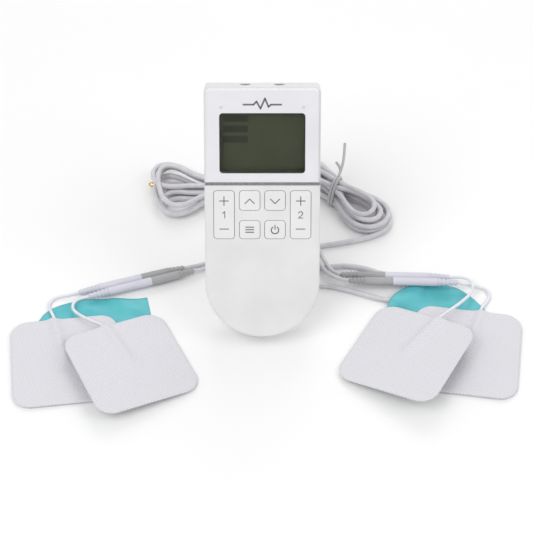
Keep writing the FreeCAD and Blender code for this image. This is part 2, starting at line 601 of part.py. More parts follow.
def plugs():
    pins = []
    for name, (rear, direction) in PLUGS.items():
        d = V(*direction)
        d.normalize()
        neck = V(*rear) + d * PLUG_RIBS_L
        relief = ribbed(neck, d * -1, PLUG_RIBS_L, PLUG_R * 0.9, TRUNK_D * 0.65, 4)
        add(name, relief.fuse(Part.makeCylinder(PLUG_R, PLUG_L, neck, d)).removeSplitter())
        shaft = Part.makeCylinder(PLUG_PIN_R, PLUG_PIN_L - 1.2, neck + d * PLUG_L, d)
        nib = Part.makeCone(PLUG_PIN_R, 0.5, 1.2, neck + d * (PLUG_L + PLUG_PIN_L - 1.2), d)
        pins.append(shaft.fuse(nib).removeSplitter())
    add("plug_pins", group(pins))


def splits():
    bodies = []
    for x, y in SPLITS:
        body = rounded_block(5.4, 9.2, 0.3, 3.1, 1.6, x, y)
        body = body.makeFillet(0.6, edges_at(body, 3.1))
        bodies.append(body)
    add("lead_splits", group(bodies))


def hank():
    curve = Part.BSplineCurve()
    curve.interpolate(Points=[V(x, y, HANK_Z) for x, y in HANK_OUTLINE], PeriodicFlag=True)
    return Part.Face(Part.Wire(curve.toShape())).extrude(V(0, 0, HANK_H))


def tie(hank_solid):
    """Wire tie: a band about the bundle and its free end standing up."""
    top = HANK_Z + HANK_H + 0.6
    band = block(-1.1, 1.1, -TIE_HALF, TIE_HALF, 0, top)
    band.rotate(V(0, 0, 0), Z_AXIS, TIE_TURN)
    band.translate(V(TIE_X, TIE_Y, 0))
    end = tube("tie_end", TIE_D, [
        (36.6, 84.8, top - 0.4), (38.3, 89.6, 10.4), (39.5, 95.6, 14.4), (39.9, 101.2, 18.6)])
    return band.cut(hank_solid).fuse(end).removeSplitter()


def write():
    add("rear_housing", rear_housing())
    add("front_housing", front_housing())
    add("display_bezel", display_bezel())
    add("trim_strip", trim_strip())
    display_parts()
    keys()
    electronics()
    battery_parts()
    screws()
    leg_parts()
    for name in list(nodes):
        nodes[name] = on_handset(nodes[name])
    pads()
    add("release_film_left", film(FILM_LEFT, FILM_LEFT_CORNERS))
    right_film = film(FILM_RIGHT, FILM_RIGHT_CORNERS)
    connectors()
    plugs()
    splits()
    for name, (diameter, points) in ROUTES.items():
        add(name, tube(name, diameter, points))
    slot = tube("slot", TRUNK_D + 1.0, ROUTES["trunk_right"][1])
    # The loop of lead under this film lifts its corner, so the flat slab stops short of the loop.
    flat_part = max(right_film.cut(slot).Solids, key=lambda solid: solid.Volume)
    add("release_film_right", flat_part)
    bundle = hank()
    add("lead_hank", bundle)
    add("hank_tie", tie(bundle))
    os.makedirs("parts", exist_ok=True)
    for name, shape in nodes.items():
        box = shape.BoundBox
        print("%-26s solids %d valid %s volume %8.1f  z %.2f..%.2f y %.2f..%.2f x %.2f..%.2f" % (
            name, len(shape.Solids), shape.isValid(), shape.Volume,
            box.ZMin, box.ZMax, box.YMin, box.YMax, box.XMin, box.XMax))
        shape.exportStep("parts/%s.step" % name)


write()
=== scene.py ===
import json
import math
import bpy
from mathutils import Matrix, Vector


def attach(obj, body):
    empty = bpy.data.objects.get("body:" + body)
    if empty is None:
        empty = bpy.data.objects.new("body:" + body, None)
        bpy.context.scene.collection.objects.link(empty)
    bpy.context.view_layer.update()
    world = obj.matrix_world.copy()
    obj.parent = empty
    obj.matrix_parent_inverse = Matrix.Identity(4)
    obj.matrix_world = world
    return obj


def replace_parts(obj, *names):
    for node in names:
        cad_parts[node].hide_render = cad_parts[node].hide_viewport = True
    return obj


# Looks of a two-channel nerve stimulator kit. Metres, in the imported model's frame.
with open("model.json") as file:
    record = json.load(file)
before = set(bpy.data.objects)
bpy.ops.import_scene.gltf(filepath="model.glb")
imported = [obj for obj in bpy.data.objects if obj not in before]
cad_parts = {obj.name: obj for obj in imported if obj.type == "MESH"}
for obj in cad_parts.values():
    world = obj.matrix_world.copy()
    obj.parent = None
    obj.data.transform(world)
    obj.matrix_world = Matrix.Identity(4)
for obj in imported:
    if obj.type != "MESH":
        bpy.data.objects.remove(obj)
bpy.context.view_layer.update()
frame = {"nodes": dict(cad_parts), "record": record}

# ---- handset axes: x right, y towards the jacks, z out of the keys ----
HANDSET_ORIGIN = (-0.0019, -0.0024, -0.001165)
HANDSET_SLANT = 56            # degrees up from lying flat
HANDSET = Matrix.Translation(HANDSET_ORIGIN) @ Matrix.Rotation(math.radians(HANDSET_SLANT), 4, "X")
KEYPAD_FACE = 0.0197          # key tops
BEZEL_FACE = 0.0204
PANEL_FACE = 0.0166           # front of the liquid crystal panel
GLASS_BACK = 0.0188           # back of the display window

# ---- display ----
LCD_MIDDLE = 0.09205
LCD_HALF_W = 0.0194
LCD_HALF_H = 0.01375
LCD_CORNER = 0.0016
CORNER_STEPS = 6              # sides of a rounded corner, and of a printed stroke's end
BORDER_WIDTH = 0.0007         # dark border behind the window's rim
BORDER_BACK = 0.0002          # its two faces, measured back from the glass
BORDER_FRONT = 0.00005
SEGMENT_LEFT = -0.0178
SEGMENT_RIGHT = -0.0065
SEGMENT_ROWS = ((0.10145, 0.1043), (0.0965, 0.0996), (0.0917, 0.0949))
SEGMENT_HALF_THICK = 0.00005

# ---- print on the keys and the bezel ----
PRINT_HEIGHT = 0.00004        # how far print stands above and below its surface
SIGN_STROKE = 0.00045
DIGIT_STROKE = 0.00038
BAR_STROKE = 0.0005
ROCKER_X = 0.01755
SIGN_ARM = 0.0020
PLUS_Y = 0.0652
MINUS_Y = 0.0520
DIGIT_TOP = 0.0602
DIGIT_FOOT = 0.0572
DIGIT_FLAG = (0.0010, 0.0008) # the flag of the 1, left and down from its top
ONE_STEM_X = 0.0003
TWO_BOWL_Y = 0.0593
TWO_RADIUS = 0.0009
TWO_ARC = (170, -35)          # degrees
TWO_FOOT_X = 0.0010
KEY_X = 0.0058                # middle of the small keys
CHEVRON_HALF_W = 0.0021
CHEVRON_LOW = 0.0640
CHEVRON_HIGH = 0.0661
BAR_HALF = 0.0018
BAR_ROWS = (0.0505, 0.0517, 0.0529)
POWER_Y = 0.0515
POWER_RADIUS = 0.0017
POWER_ARC = (125, 415)        # degrees; the gap is at the top
POWER_LINE = (0.0519, 0.0538)
PULSE_STROKE = 0.0008
PULSE = ((-0.0085, 0.1098), (-0.0040, 0.1098), (-0.0026, 0.1112), (-0.0008, 0.1080),
         (0.0012, 0.1126), (0.0028, 0.1088), (0.0040, 0.1098), (0.0085, 0.1098))
DOT_X = 0.0186
DOT_Y = 0.1085
DOT_HALF_LINE = 0.0001
DOT_STROKE = 0.0016
DOT_HEIGHT = 0.00002

# ---- pads ----
PAD_HALF = 0.0254
PAD_CORNER = 0.0085
PAD_LIFT = 0.00035
PAD_CELLS = 96                # mesh cells along a side
GEL = 0.0006
GEL_INSET = 0.0012            # how far the gel stays inside the fabric's edge
GEL_CELLS = 40
FABRIC = 0.0009
RIM_ROUND = 0.0006            # width of the rounded-off rim
RIM_DROP = 0.45               # share of the thickness that each face loses at the rim
HALVINGS = 40                 # steps in the search for the rim
CHANNEL_WIDTH = 0.0026        # ridge over the pigtail: its width, height and the y where it fades
CHANNEL_HEIGHT = 0.0017
CHANNEL_FADE = (-0.006, 0.004)
CHANNEL_DEPTHS = (0.0215, 0.0160, 0.0105, 0.0050)    # the pigtail's points, from the pad's middle
PIGTAIL_ABOVE_GEL = 0.0005
# Middle x, y, turn and tilt in degrees, as in the CAD.
PADS = {
    "back_left": (-0.0938, -0.02575, 7.1, 0.0),
    "front_left": (-0.0632, -0.0298, 26.2, -7.5),
    "back_right": (0.09355, -0.0204, -8.5, 0.0),
    "front_right": (0.0652, -0.0252, -29.6, 11.5),
}

# ---- cords ----
TRUNK_D = 0.0026
LEG_D = 0.0019
PIGTAIL_D = 0.0015
# Lengths along the routes as drawn. No second source was at hand, least of all for the trunks.
# From the connector towards the pad; the last points run inside the pad's channel.
PIGTAILS = {
    "back_left": [
        (-0.0906, 0.0154, 0.0021), (-0.0941, 0.0143, 0.0019), (-0.0980, 0.0139, 0.0013),
        (-0.1016, 0.0132, 0.0010), (-0.1041, 0.0108, 0.0010), (-0.1048, 0.0073, 0.0012),
        (-0.1029, 0.0032, 0.0014), (-0.1010, -0.0010, 0.0014)],
    "front_left": [
        (-0.0855, 0.0120, 0.0033), (-0.0885, 0.0111, 0.0032), (-0.0916, 0.0098, 0.0030),
        (-0.0931, 0.0069, 0.0029), (-0.0925, 0.0036, 0.0030), (-0.0894, 0.0004, 0.0034),
        (-0.0850, -0.0029, 0.0041), (-0.0805, -0.0055, 0.0046), (-0.0763, -0.0079, 0.0044)],
    "front_right": [
        (0.0888, 0.0228, 0.0048), (0.0926, 0.0229, 0.0051), (0.0966, 0.0219, 0.0054),
        (0.0994, 0.0191, 0.0056), (0.0996, 0.0153, 0.0052), (0.0972, 0.0106, 0.0053),
        (0.0920, 0.0050, 0.0060), (0.0862, -0.0004, 0.0068), (0.0812, -0.0050, 0.0071)],
    "back_right": [
        (0.0924, 0.0187, 0.0057), (0.0958, 0.0185, 0.0047), (0.1000, 0.0193, 0.0022),
        (0.1044, 0.0196, 0.0011), (0.1076, 0.0172, 0.0010), (0.1079, 0.0132, 0.0010),
        (0.1054, 0.0092, 0.0012), (0.1024, 0.0050, 0.0014)],
}
# From the connector towards the Y piece.
LEGS = {
    "back_left": [
        (-0.0404, 0.0312, 0.0021), (-0.0358, 0.0328, 0.0015), (-0.0308, 0.0346, 0.0011),
        (-0.0262, 0.0374, 0.0011), (-0.0236, 0.0420, 0.0011), (-0.0236, 0.0474, 0.0011),
        (-0.0217, 0.0526, 0.0016)],
    "front_left": [
        (-0.0355, 0.0282, 0.0033), (-0.0309, 0.0300, 0.0022), (-0.0259, 0.0324, 0.0013),
        (-0.0217, 0.0359, 0.0011), (-0.0193, 0.0409, 0.0011), (-0.0203, 0.0466, 0.0011),
        (-0.0194, 0.0524, 0.0016)],
    "front_right": [
        (0.0362, 0.0245, 0.0048), (0.0332, 0.0259, 0.0046), (0.0308, 0.0296, 0.0039),
        (0.0286, 0.0340, 0.0037), (0.0268, 0.0384, 0.0039), (0.0254, 0.0426, 0.0046),
        (0.0219, 0.0458, 0.0047), (0.0172, 0.0464, 0.0034), (0.0127, 0.0437, 0.0020),
        (0.0103, 0.0395, 0.0016)],
    "back_right": [
        (0.0398, 0.0201, 0.0057), (0.0362, 0.0209, 0.0055), (0.0322, 0.0232, 0.0047),
        (0.0290, 0.0270, 0.0039), (0.0269, 0.0316, 0.0037), (0.0256, 0.0360, 0.0038),
        (0.0238, 0.0396, 0.0044), (0.0206, 0.0419, 0.0047), (0.0166, 0.0419, 0.0036),
        (0.0131, 0.0397, 0.0018)],
}
TRUNK_LEFT_START = [
    (-0.0205, 0.0622, 0.0016), (-0.0199, 0.0649, 0.0017), (-0.0189, 0.0675, 0.0020),
    (-0.0158, 0.0702, 0.0024), (-0.0080, 0.0734, 0.0020), (0.0030, 0.0784, 0.0016),
    (0.0160, 0.0828, 0.0020), (0.0254, 0.0828, 0.0024), (0.0322, 0.0770, 0.0026)]
TRUNK_RIGHT_START = [
    (0.0114, 0.0305, 0.0016), (0.0129, 0.0252, 0.00145), (0.0172, 0.0222, 0.00135),
    (0.0240, 0.0212, 0.00135), (0.0324, 0.0200, 0.00135), (0.0414, 0.0171, 0.00135),
    (0.0506, 0.0134, 0.00135), (0.0588, 0.0108, 0.00135), (0.0632, 0.0116, 0.00135),
    (0.0664, 0.0147, 0.00135), (0.0674, 0.0190, 0.00135), (0.0659, 0.0231, 0.00135),
    (0.0620, 0.0258, 0.00135), (0.0552, 0.0286, 0.00135), (0.0476, 0.0318, 0.00135),
    (0.0396, 0.0334, 0.00135), (0.0316, 0.0326, 0.00135), (0.0248, 0.0314, 0.00135),
    (0.0204, 0.0330, 0.00135), (0.0180, 0.0369, 0.00135), (0.0184, 0.0415, 0.00135),
    (0.0215, 0.0450, 0.00135), (0.0282, 0.0468, 0.00135), (0.0360, 0.0480, 0.00135),
    (0.0456, 0.0502, 0.0016), (0.0540, 0.0526, 0.0022), (0.0602, 0.0568, 0.0026),
    (0.0624, 0.0630, 0.0030), (0.0606, 0.0692, 0.0034), (0.0552, 0.0742, 0.0040),
    (0.0484, 0.0774, 0.0046), (0.0418, 0.0802, 0.0050)]

# ---- hank: each turn is a lane to the left end, a lobe round it, a lane back and a fan ----
TIE = (0.0348, 0.0805)
TIE_ACROSS = (0.407, 0.914)                # direction across the bundle at the tie
LANES = {                                  # left end to tie: x, y, shift in y; then its slot at the tie
    "upper_out": ([(-0.030, 0.0854, 0.0022), (-0.014, 0.0872, 0.0022), (0.002, 0.0928, 0.0024),
                   (0.015, 0.0990, 0.0028), (0.0258, 0.0984, 0.0034)], 0.0046),
    "upper_back": ([(-0.030, 0.0834, -0.0012), (-0.014, 0.0846, -0.0004), (0.002, 0.0892, 0.0008),
                    (0.016, 0.0950, 0.0012), (0.0262, 0.0948, 0.0012)], 0.0022),
    "lower_out": ([(-0.030, 0.0782, 0.0024), (-0.014, 0.0810, 0.0012), (0.003, 0.0852, 0.0006),
                   (0.017, 0.0908, 0.0006), (0.0266, 0.0908, 0.0004)], -0.0001),
    "lower_back": ([(-0.030, 0.0758, -0.0014), (-0.014, 0.0786, -0.0008), (0.004, 0.0824, -0.0004),
                    (0.018, 0.0870, -0.0002), (0.0262, 0.0874, -0.0002)], -0.0025),
}
LOBES = {                                  # round the left end, anticlockwise: x, y, shifts in x and y
    "upper": [(-0.0372, 0.0882, 0, 0.0024), (-0.0436, 0.0926, 0, 0.0030),
              (-0.0496, 0.0950, -0.0008, 0.0030), (-0.0540, 0.0936, -0.0024, 0.0026),
              (-0.0554, 0.0896, -0.0030, 0.0004),
              (-0.0532, 0.0856, -0.0022, -0.0022), (-0.0476, 0.0838, -0.0004, -0.0024),
              (-0.0390, 0.0842, 0, -0.0016)],
    "lower": [(-0.0384, 0.0784, 0, 0.0018), (-0.0448, 0.0788, -0.0004, 0.0030),
              (-0.0500, 0.0768, -0.0010, 0.0034), (-0.0526, 0.0724, -0.0012, 0.0016),
              (-0.0508, 0.0682, -0.0010, -0.0010), (-0.0462, 0.0664, -0.0004, -0.0018),
              (-0.0414, 0.0682, 0, -0.0022), (-0.0360, 0.0722, 0, -0.0020)],
    "whole": [(-0.0372, 0.0884, 0, 0.0034), (-0.0438, 0.0934, 0, 0.0034),
              (-0.0492, 0.0956, 0, 0.0034), (-0.0538, 0.0940, 0, 0.0022),
              (-0.0552, 0.0880, -0.0012, 0), (-0.0540, 0.0806, -0.0030, 0),
              (-0.0524, 0.0740, -0.0030, 0), (-0.0488, 0.0690, -0.0020, -0.0020),
              (-0.0438, 0.0674, 0, -0.0026), (-0.0386, 0.0694, 0, -0.0026),
              (-0.0344, 0.0728, 0, -0.0022)],
}
# The lane that leads into each lobe, and the one that leads out.
ROUND = {"upper": ("upper_out", "upper_back"), "lower": ("lower_out", "lower_back"),
         "whole": ("upper_out", "lower_back")}
FAN_MIDDLE = (0.0470, 0.0680)
FANS = {                                   # x, y round the right end, from the tie and back to it
    "short": [(0.0382, 0.0735), (0.0404, 0.0676), (0.0438, 0.0624), (0.0490, 0.0604),
              (0.0532, 0.0636), (0.0538, 0.0688), (0.0496, 0.0736), (0.0424, 0.0776)],
    "slanting": [(0.0376, 0.0725), (0.0410, 0.0648), (0.0456, 0.0584), (0.0514, 0.0562),
                 (0.0566, 0.0580), (0.0590, 0.0630), (0.0560, 0.0686), (0.0494, 0.0742),
                 (0.0422, 0.0784)],
    "long": [(0.0364, 0.0715), (0.0394, 0.0636), (0.0444, 0.0572), (0.0514, 0.0548),
             (0.0582, 0.0574), (0.0614, 0.0630), (0.0602, 0.0688), (0.0552, 0.0732),
             (0.0482, 0.0766), (0.0418, 0.0798)],
}
FIRST_FAN = ("short", 1.05, 0.0026, 0.0017)       # fan, growth, height at its start and its end
# Lobe, share of the lanes' and the lobe's shifts, height; fan, its growth, the height it climbs to.
LEFT_TURNS = [
    ("upper", 0.0, 0.0017, "long", 1.0, 0.0043),
    ("lower", 0.8, 0.0043, "short", 1.12, 0.0069),
    ("upper", 1.0, 0.0069, "slanting", 0.88, 0.0088)]
RIGHT_TURNS = [
    ("lower", 0.0, 0.0017, "short", 1.0, 0.0043),
    ("whole", 0.9, 0.0043, "long", 1.0, 0.0078),
    ("whole", 0.1, 0.0082, "short", 1.05, 0.0100)]
TRUNK_LEFT_END = [                         # back along the top of the hank to the plug
    (TIE[0] - 0.0006, TIE[1] - 0.0013, 0.0094), (0.0270, 0.0846, 0.0092), (0.0180, 0.0850, 0.0086),
    (0.0040, 0.0832, 0.0072), (-0.0100, 0.0822, 0.0050), (-0.0210, 0.0820, 0.0034),
    (-0.0295, 0.0825, 0.0031)]
TRUNK_RIGHT_END = [
    (TIE[0] + 0.0007, TIE[1] + 0.0016, 0.0104), (0.0282, 0.0886, 0.0112), (0.0232, 0.0890, 0.0115),
    (0.0180, 0.0875, 0.0115)]

# ---- twist tie: a doubled wire round the hank, a knot on top and two free ends ----
TIE_WIRE_D = 0.0014
TIE_HALF_GAP = 0.0007
TIE_RING = [                               # distance across the bundle, height
    (-0.0068, 0.0012), (-0.0070, 0.0046), (-0.0050, 0.0096), (-0.0006, 0.0124), (0.0042, 0.0118),
    (0.0066, 0.0076), (0.0066, 0.0012), (0.0030, 0.0007), (-0.0044, 0.0007)]
TIE_KNOT_START = (0.0042, 0.0114)
TIE_KNOT = [(0.0368, 0.0852, 0.0122), (0.0376, 0.0878, 0.0124)]
TIE_LONG_END = [(0.0386, 0.0910, 0.0130), (0.0395, 0.0956, 0.0152), (0.0399, 0.1012, 0.0186)]
TIE_SHORT_END = [(0.0370, 0.0904, 0.0130), (0.0354, 0.0926, 0.0136)]

# ---- film liners: visible edge from left to right, and the hidden edge under the pads ----
FILMS = {
    "release_film_left": (
        [(-0.1190, -0.0160), (-0.1135, -0.0040), (-0.1090, -0.0010), (-0.1062, 0.0038),
         (-0.0994, 0.0088), (-0.0876, 0.0122), (-0.0755, 0.0129), (-0.0659, 0.0125),
         (-0.0577, 0.0138)],
        [(-0.1100, -0.0300), (-0.0500, -0.0220)]),
    "release_film_right": (
        [(0.0570, 0.0000), (0.0574, 0.0050), (0.0596, 0.0105), (0.0640, 0.0156), (0.0736, 0.0208),
         (0.0810, 0.0224), (0.0892, 0.0211), (0.0970, 0.0162), (0.1050, 0.0060), (0.1100, -0.0040)],
        [(0.0640, -0.0200), (0.1120, -0.0240)]),
}
FILM_COLUMNS = 72             # mesh cells
FILM_ROWS = 40
FILM_FLAT = 0.00015           # height of the middle of the film where it lies flat
FILM_THICK = 0.0003
# Folds of the part that shows: height, where they fade in x and in y, and their waves
# (radians for each metre of x and of y, and the phase).
LEFT_FOLD_HEIGHT = 0.0009
LEFT_FOLD_X = (-0.094, -0.086)
LEFT_FOLD_Y = (0.002, 0.007)
LEFT_FOLD_WAVE = (290, 160, 1.0)
RIGHT_FOLD_HEIGHT = 0.0010
RIGHT_FOLD_X = (0.090, 0.096)
RIGHT_FOLD_Y = (0.004, 0.010)
RIGHT_FOLD_WAVE = (240, -190, 0.0)
RIGHT_FLAT_Y = (0.001, 0.007) # from flat under the pad to free
CORD_LOOP = (0.0640, 0.0185)  # where the lead lifts the right film
HUMP_HEIGHT = 0.0030
HUMP_TOP_RADIUS = 0.0092
HUMP_FOOT_RADIUS = 0.0145

# ---- studio ----
FLOOR_HALF = 3
WORLD_STRENGTH = 0.62
LIGHT_TARGET = (0, 0.02, 0.03)
LIGHTS = {                    # place, size, power in watts
    "key_light": ((-0.5, -0.5, 1.1), 0.8, 5.4),
    "fill_light": ((0.8, -0.3, 0.9), 0.8, 2.8),
    "rim_light": ((0.1, 0.9, 0.8), 0.7, 2.4),
}
CAMERA_LENS = 116.85          # millimetres, on a 36 mm sensor
CAMERA_SENSOR = 36
CAMERA_ELEVATION = 48.7       # degrees
CAMERA_DISTANCE = 0.85
CAMERA_TARGET_Y = 0.034


# ---------- material helpers ----------
def start_material(name, colour, roughness, metallic=0.0):
    mat = bpy.data.materials.new(name)
    mat.use_nodes = True
    bsdf = mat.node_tree.nodes["Principled BSDF"]
    bsdf.inputs["Base Color"].default_value = (*colour, 1)
    bsdf.inputs["Roughness"].default_value = roughness
    bsdf.inputs["Metallic"].default_value = metallic
    return mat, bsdf


def node(mat, kind, **values):
    made = mat.node_tree.nodes.new(kind)
    for key, value in values.items():
        if key in made.inputs:
            made.inputs[key].default_value = value
        else:
            setattr(made, key, value)
    return made


def link(mat, a, out, b, into):
    mat.node_tree.links.new(a.outputs[out], b.inputs[into])


def noise(mat, scale, detail=3.0):
    where = node(mat, "ShaderNodeTexCoord")
    made = node(mat, "ShaderNodeTexNoise", Scale=scale, Detail=detail)
    link(mat, where, "Object", made, "Vector")
    return made


def vary_colour(mat, bsdf, scale, dark, light):
    """Colour that drifts slowly between two close shades."""
    source = noise(mat, scale)
    ramp = node(mat, "ShaderNodeValToRGB")
    ramp.color_ramp.elements[0].position = 0.3
    ramp.color_ramp.elements[0].color = (*dark, 1)
    ramp.color_ramp.elements[1].position = 0.7
    ramp.color_ramp.elements[1].color = (*light, 1)
    link(mat, source, "Fac", ramp, "Fac")
    link(mat, ramp, "Color", bsdf, "Base Color")


def vary_roughness(mat, bsdf, scale, low, high):
    """Gloss that drifts between two values, as handling and moulding leave it."""
    source = noise(mat, scale, detail=5.0)
    span = node(mat, "ShaderNodeMapRange")
    span.inputs["To Min"].default_value = low
    span.inputs["To Max"].default_value = high
    link(mat, source, "Fac", span, "Value")
    link(mat, span, "Result", bsdf, "Roughness")


def bump(mat, bsdf, source, output, strength, distance):
    made = node(mat, "ShaderNodeBump", Strength=strength, Distance=distance)
    link(mat, source, output, made, "Height")
    link(mat, made, "Normal", bsdf, "Normal")
    return made


# ---------- materials ----------
def moulded_plastic(name, dark, light, rough_low, rough_high, grain, coat):
    """Injection-moulded plastic: fine spark-eroded grain, slight shade drift."""
    mat, bsdf = start_material(name, light, rough_low)
    vary_colour(mat, bsdf, scale=60, dark=dark, light=light)
    vary_roughness(mat, bsdf, scale=900, low=rough_low, high=rough_high)
    bump(mat, bsdf, noise(mat, 5200, detail=2.0), "Fac", strength=grain, distance=0.00002)
    bsdf.inputs["Coat Weight"].default_value = coat
    bsdf.inputs["Coat Roughness"].default_value = 0.06
    return mat


def cord_vinyl(name, dark, light):
    """Extruded vinyl sheath: satin, with faint drawing marks and dust."""
    mat, bsdf = start_material(name, light, 0.35)
    vary_colour(mat, bsdf, scale=220, dark=dark, light=light)
    vary_roughness(mat, bsdf, scale=1400, low=0.28, high=0.46)
    bump(mat, bsdf, noise(mat, 2600, detail=4.0), "Fac", strength=0.25, distance=0.00003)
    bsdf.inputs["Sheen Weight"].default_value = 0.15
    return mat


def metal(name, dark, light, rough_low, rough_high):
    """Bare metal with fine pitting and a slow drift in shade."""
    mat, bsdf = start_material(name, light, rough_low, 1.0)
    vary_colour(mat, bsdf, scale=500, dark=dark, light=light)
    vary_roughness(mat, bsdf, scale=2500, low=rough_low, high=rough_high)
    bump(mat, bsdf, noise(mat, 6000, detail=2.0), "Fac", strength=0.1, distance=0.00001)
    return mat


def window_plastic():
    """Clear display window, with the haze of light wear."""
    mat, bsdf = start_material("window_clear", (0.93, 0.95, 0.90), 0.03)
    vary_roughness(mat, bsdf, scale=700, low=0.02, high=0.06)
    bsdf.inputs["Transmission Weight"].default_value = 1.0
    bsdf.inputs["IOR"].default_value = 1.18
    return mat


def crystal_panel():
    """Reflective display panel: olive, with the faint grid of its cells."""
    mat, bsdf = start_material("lcd_glass", (0.060, 0.070, 0.040), 0.5)
    vary_colour(mat, bsdf, scale=45, dark=(0.043, 0.050, 0.026), light=(0.055, 0.063, 0.034))
    where = node(mat, "ShaderNodeTexCoord")
    cells = node(mat, "ShaderNodeTexWave", Scale=900.0)
    link(mat, where, "Object", cells, "Vector")
    bump(mat, bsdf, cells, "Fac", strength=0.15, distance=0.00001)
    return mat


def pad_fabric():
    """Embossed non-woven backing: small raised dots on a diagonal grid, with loose fibres."""
    mat, bsdf = start_material("pad_fabric", (0.76, 0.75, 0.80), 0.85)
    where = node(mat, "ShaderNodeTexCoord")
    turn = node(mat, "ShaderNodeMapping")
    turn.inputs["Rotation"].default_value = (0, 0, math.radians(45))
    link(mat, where, "Object", turn, "Vector")
    product = node(mat, "ShaderNodeMath", operation="MULTIPLY")
    for index, direction in enumerate(("X", "Y")):
        band = node(mat, "ShaderNodeTexWave", Scale=265.0, bands_direction=direction,
                    wave_profile="SIN")
        link(mat, turn, "Vector", band, "Vector")
        mat.node_tree.links.new(band.outputs["Fac"], product.inputs[index])
    ramp = node(mat, "ShaderNodeValToRGB")
    ramp.color_ramp.elements[0].position = 0.05
    ramp.color_ramp.elements[0].color = (0.735, 0.725, 0.765, 1)
    ramp.color_ramp.elements[1].position = 0.65
    ramp.color_ramp.elements[1].color = (0.66, 0.65, 0.70, 1)
    link(mat, product, "Value", ramp, "Fac")
    link(mat, ramp, "Color", bsdf, "Base Color")
    dots = bump(mat, bsdf, product, "Value", strength=0.7, distance=-0.00022)
    fibres = node(mat, "ShaderNodeBump", Strength=0.35, Distance=0.00006)
    link(mat, noise(mat, 3500, detail=6.0), "Fac", fibres, "Height")
    link(mat, fibres, "Normal", dots, "Normal")
    bsdf.inputs["Sheen Weight"].default_value = 0.4
    bsdf.inputs["Sheen Roughness"].default_value = 0.5
    return mat


def hydrogel():
    """Tacky clear gel, slightly cloudy."""
    mat, bsdf = start_material("gel_clear", (0.70, 0.74, 0.74), 0.15)
    vary_colour(mat, bsdf, scale=150, dark=(0.62, 0.67, 0.67), light=(0.76, 0.80, 0.80))
    vary_roughness(mat, bsdf, scale=500, low=0.10, high=0.25)
    bump(mat, bsdf, noise(mat, 700, detail=3.0), "Fac", strength=0.3, distance=0.00008)
    bsdf.inputs["Transmission Weight"].default_value = 0.45
    bsdf.inputs["Subsurface Weight"].default_value = 0.2
    return mat


def liner_film():
    """Soft teal plastic liner: satin, slightly wrinkled."""
    mat, bsdf = start_material("film_teal", (0.10, 0.50, 0.55), 0.38)
    vary_colour(mat, bsdf, scale=70, dark=(0.075, 0.455, 0.505), light=(0.115, 0.535, 0.585))
    vary_roughness(mat, bsdf, scale=300, low=0.30, high=0.48)
    bump(mat, bsdf, noise(mat, 320, detail=3.0), "Fac", strength=0.35, distance=0.00025)
    bsdf.inputs["Sheen Weight"].default_value = 0.2
    return mat


def board_laminate():
    """Green solder mask over glass cloth."""
    mat, bsdf = start_material("board_green", (0.03, 0.16, 0.07), 0.4)
    vary_colour(mat, bsdf, scale=900, dark=(0.02, 0.12, 0.05), light=(0.04, 0.19, 0.09))
    vary_roughness(mat, bsdf, scale=1500, low=0.3, high=0.5)
    bump(mat, bsdf, noise(mat, 1800, detail=4.0), "Fac", strength=0.3, distance=0.00003)
    return mat


def floor_paper():
    """Matt studio paper."""
    mat, bsdf = start_material("floor_paper", (0.93, 0.93, 0.93), 0.9)
    vary_colour(mat, bsdf, scale=8, dark=(0.925, 0.925, 0.925), light=(0.935, 0.935, 0.935))
    return mat


# Dark shade, light shade, lowest and highest roughness, grain, coat.
PLASTICS = {
    "housing_white": ((0.74, 0.73, 0.735), (0.80, 0.79, 0.795), 0.32, 0.42, 0.35, 0.0),
    "bezel_gloss": ((0.76, 0.75, 0.79), (0.81, 0.80, 0.83), 0.10, 0.16, 0.05, 0.8),
    "frame_plastic": ((0.030, 0.033, 0.022), (0.042, 0.046, 0.030), 0.4, 0.6, 0.35, 0.0),
    "key_white": ((0.77, 0.76, 0.77), (0.82, 0.81, 0.82), 0.36, 0.48, 0.35, 0.0),
    "switch_black": ((0.015, 0.015, 0.017), (0.03, 0.03, 0.033), 0.35, 0.5, 0.35, 0.0),
    "jack_black": ((0.02, 0.02, 0.022), (0.04, 0.04, 0.042), 0.3, 0.45, 0.35, 0.0),
    "core_black": ((0.05, 0.045, 0.04), (0.09, 0.08, 0.07), 0.5, 0.7, 0.8, 0.0),
    "cell_wrap": ((0.10, 0.13, 0.20), (0.14, 0.18, 0.27), 0.2, 0.32, 0.1, 0.4),
    "connector_grey": ((0.34, 0.34, 0.35), (0.42, 0.42, 0.43), 0.4, 0.55, 0.5, 0.0),
    "socket_white": ((0.63, 0.62, 0.70), (0.70, 0.70, 0.77), 0.35, 0.5, 0.4, 0.0),
    "print_grey": ((0.13, 0.13, 0.14), (0.18, 0.18, 0.19), 0.5, 0.6, 0.35, 0.0),
    "print_light": ((0.58, 0.58, 0.61), (0.64, 0.64, 0.67), 0.45, 0.55, 0.35, 0.0),
    "segment_dark": ((0.016, 0.019, 0.008), (0.022, 0.025, 0.012), 0.5, 0.6, 0.35, 0.0),
}
# Dark shade, light shade, lowest and highest roughness.
METALS = {
    "trim_chrome": ((0.33, 0.33, 0.36), (0.40, 0.40, 0.43), 0.18, 0.26),
    "contact_steel": ((0.50, 0.50, 0.49), (0.66, 0.66, 0.65), 0.25, 0.42),
    "plug_gold": ((0.66, 0.44, 0.16), (0.86, 0.62, 0.28), 0.18, 0.32),
}
# Dark shade, light shade.
VINYLS = {
    "lead_grey": ((0.58, 0.57, 0.60), (0.68, 0.67, 0.70)),
    "pigtail_white": ((0.76, 0.75, 0.80), (0.84, 0.83, 0.88)),
    "tie_white": ((0.44, 0.44, 0.46), (0.54, 0.54, 0.56)),
}


